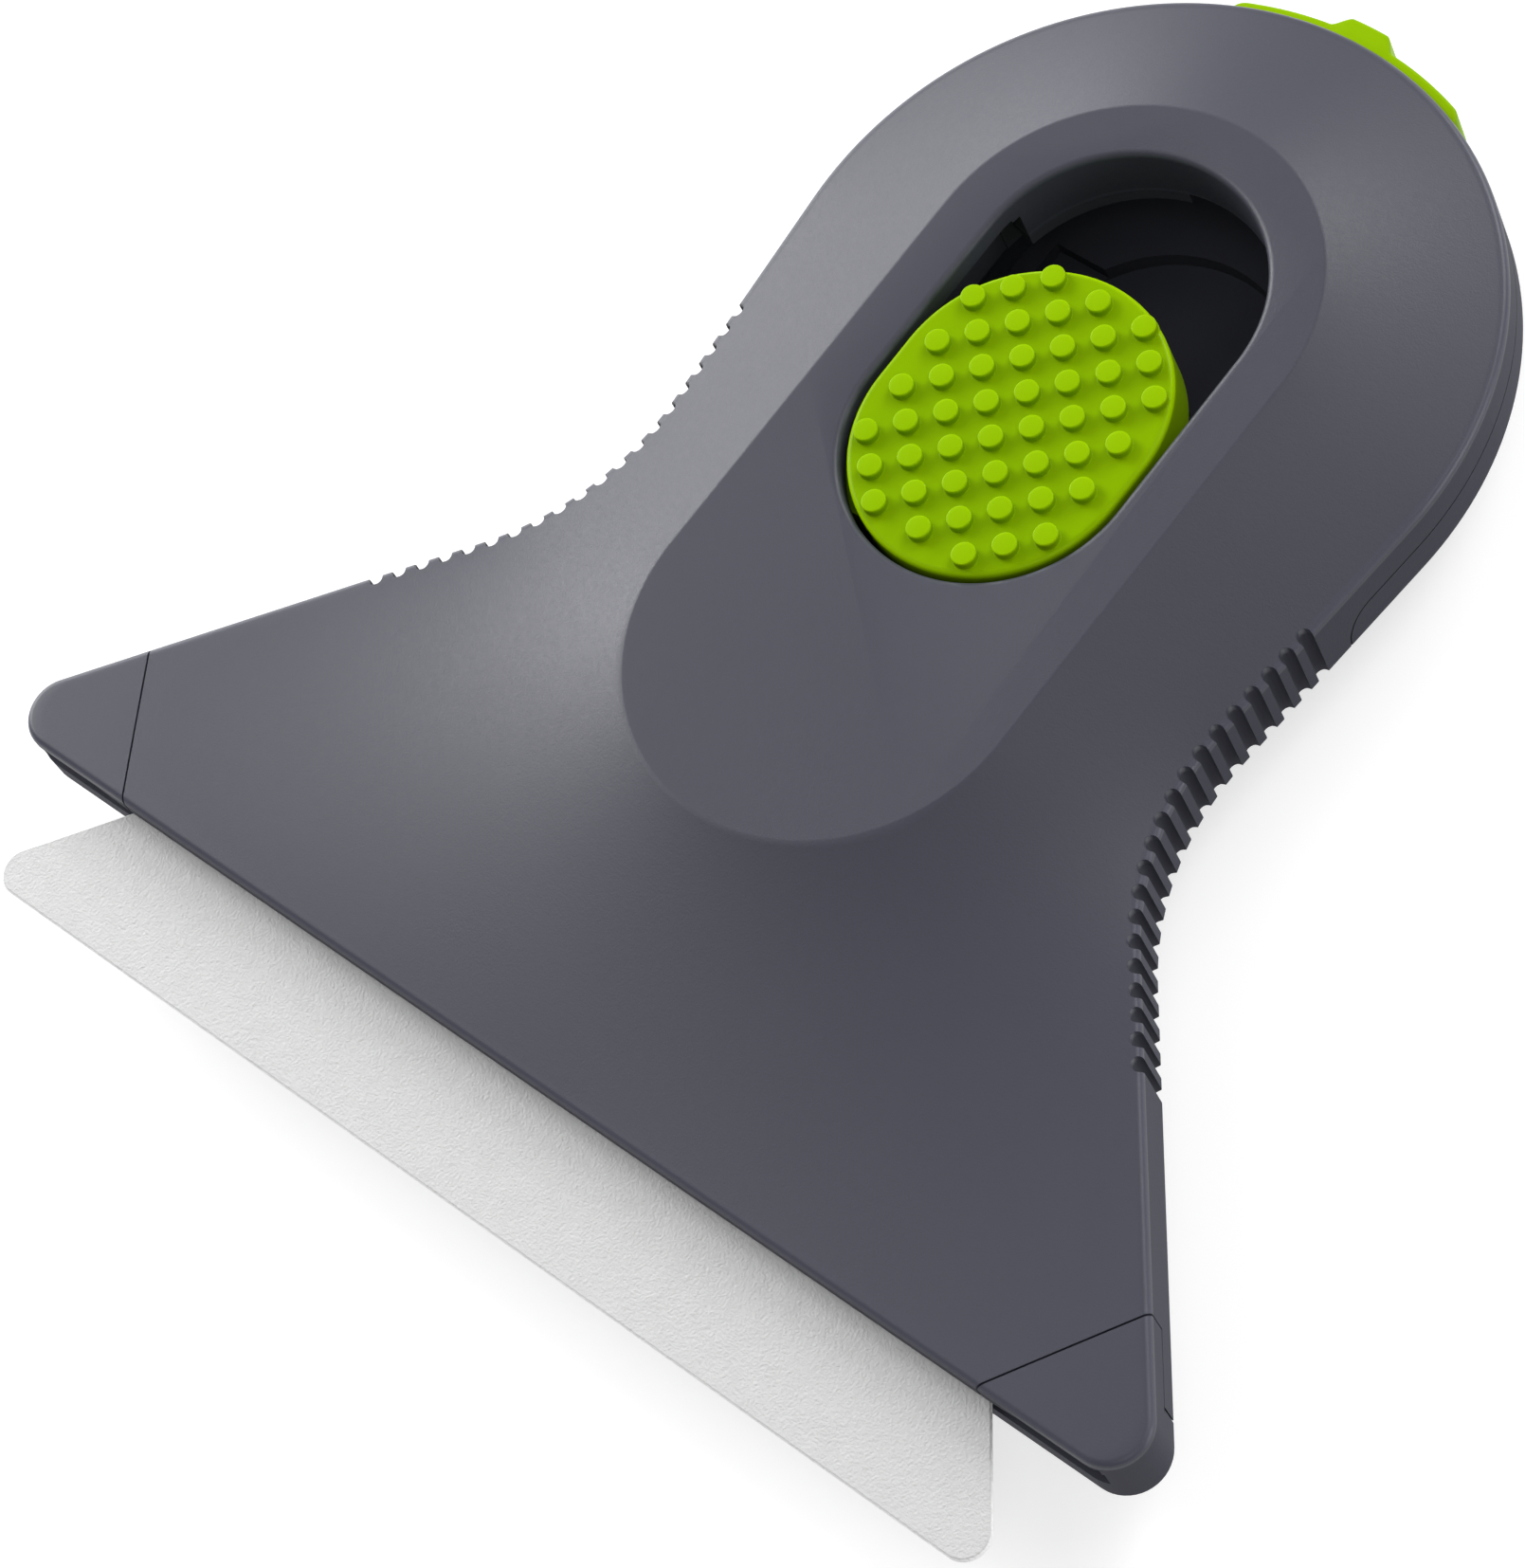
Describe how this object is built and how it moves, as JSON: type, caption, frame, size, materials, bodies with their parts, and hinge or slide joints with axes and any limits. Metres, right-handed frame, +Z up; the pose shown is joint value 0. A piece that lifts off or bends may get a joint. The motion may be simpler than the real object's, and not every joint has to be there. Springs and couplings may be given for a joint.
{
  "type": "ceramic blade scraper",
  "caption": "Flat hand scraper with a fan-shaped housing, a wide ceramic blade in a front slot, a studded thumb slider that draws the blade in, and a latch round the tail.",
  "frame": {"origin": "middle of the bounding box, at the level of the flat pad underneath", "axes": "X across, positive to the right with the blade pointing away from the hand that holds the tail; Y from the cutting edge back to the tail; Z up through the pad with the thumb slider"},
  "size_m": [0.0716, 0.0728, 0.0105],
  "materials": {
    "housing_upper": "fine matt moulded grey",
    "housing_lower": "fine matt moulded grey",
    "lime_button": "satin lime green",
    "black_plastic": "satin black",
    "white_ceramic": "fine ground matt white ceramic",
    "lime_latch": "satin lime green"
  },
  "bodies": {
    "housing": {"upper_housing": "housing_upper", "lower_housing": "housing_lower"},
    "slider": {"slider_button": "lime_button", "blade_carrier": "black_plastic", "ceramic_blade": "white_ceramic"},
    "latch": {"rear_latch": "lime_latch"}
  },
  "joints": [
    {"name": "blade_slide", "type": "slide", "parent": "housing", "child": "slider", "axis": [0, 1, 0], "range_m": [0, 0.0069]},
    {"name": "latch_turn", "type": "hinge", "parent": "housing", "child": "latch", "pos_m": [0, 0.01634, 0.00505], "axis": [0, 0, 1], "range_deg": [0, 8]}
  ]
}
